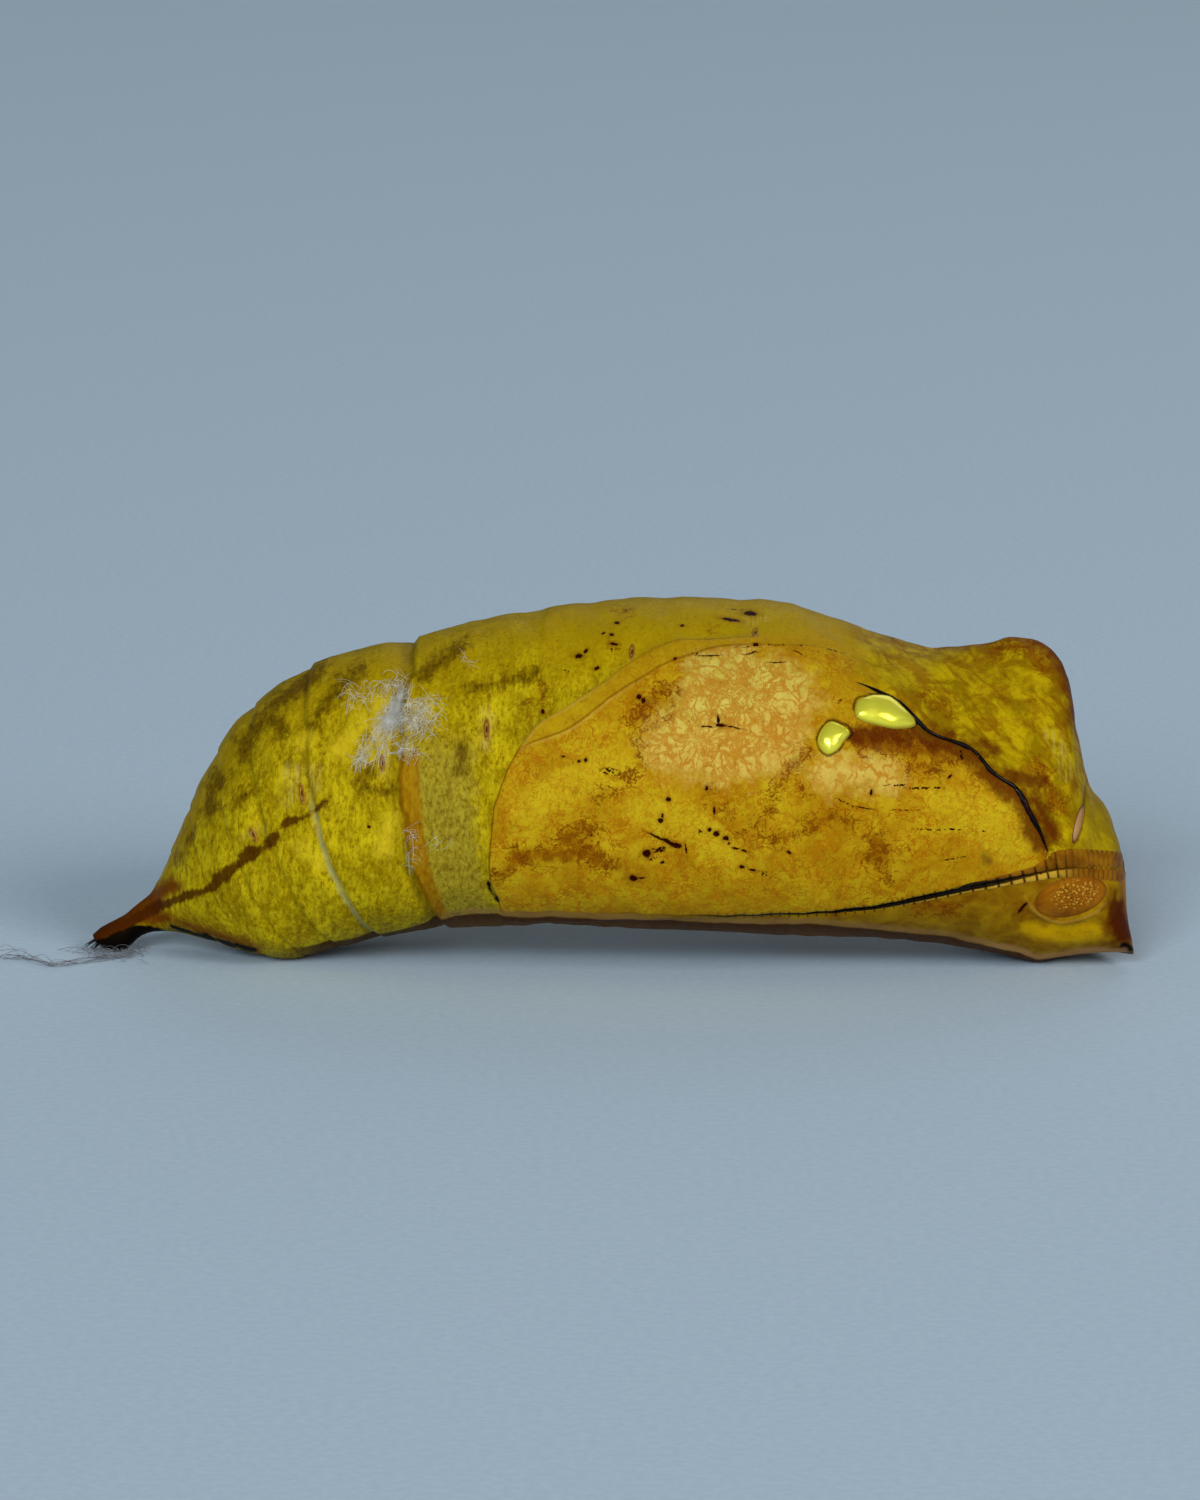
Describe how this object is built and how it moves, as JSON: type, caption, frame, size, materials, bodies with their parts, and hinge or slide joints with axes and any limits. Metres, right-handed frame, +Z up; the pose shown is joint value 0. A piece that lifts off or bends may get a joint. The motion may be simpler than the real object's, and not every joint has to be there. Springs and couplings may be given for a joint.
{
  "type": "owl butterfly chrysalis",
  "caption": "Leaf-like butterfly pupa lying belly down: ringed abdomen, wing cases, keeled back, twin head horns, hooked tail and wisps of silk.",
  "frame": {"origin": "middle of the whole part's bounding box, on the surface that the chrysalis lies on", "axes": "+X from the tail to the head, +Z up out of the chrysalis's back, +Y to its right flank; it is seen from -Y, its left flank"},
  "size_m": [0.0434, 0.0148, 0.0138],
  "materials": {
    "pupal_shell": "waxy mottled yellow-brown cuticle with two golden patches",
    "silk": "fine matted off-white silk fibres"
  },
  "bodies": {
    "root": {"pupal_shell": "pupal_shell", "silk_wisp": "silk", "tail_silk": "silk"}
  },
  "joints": []
}
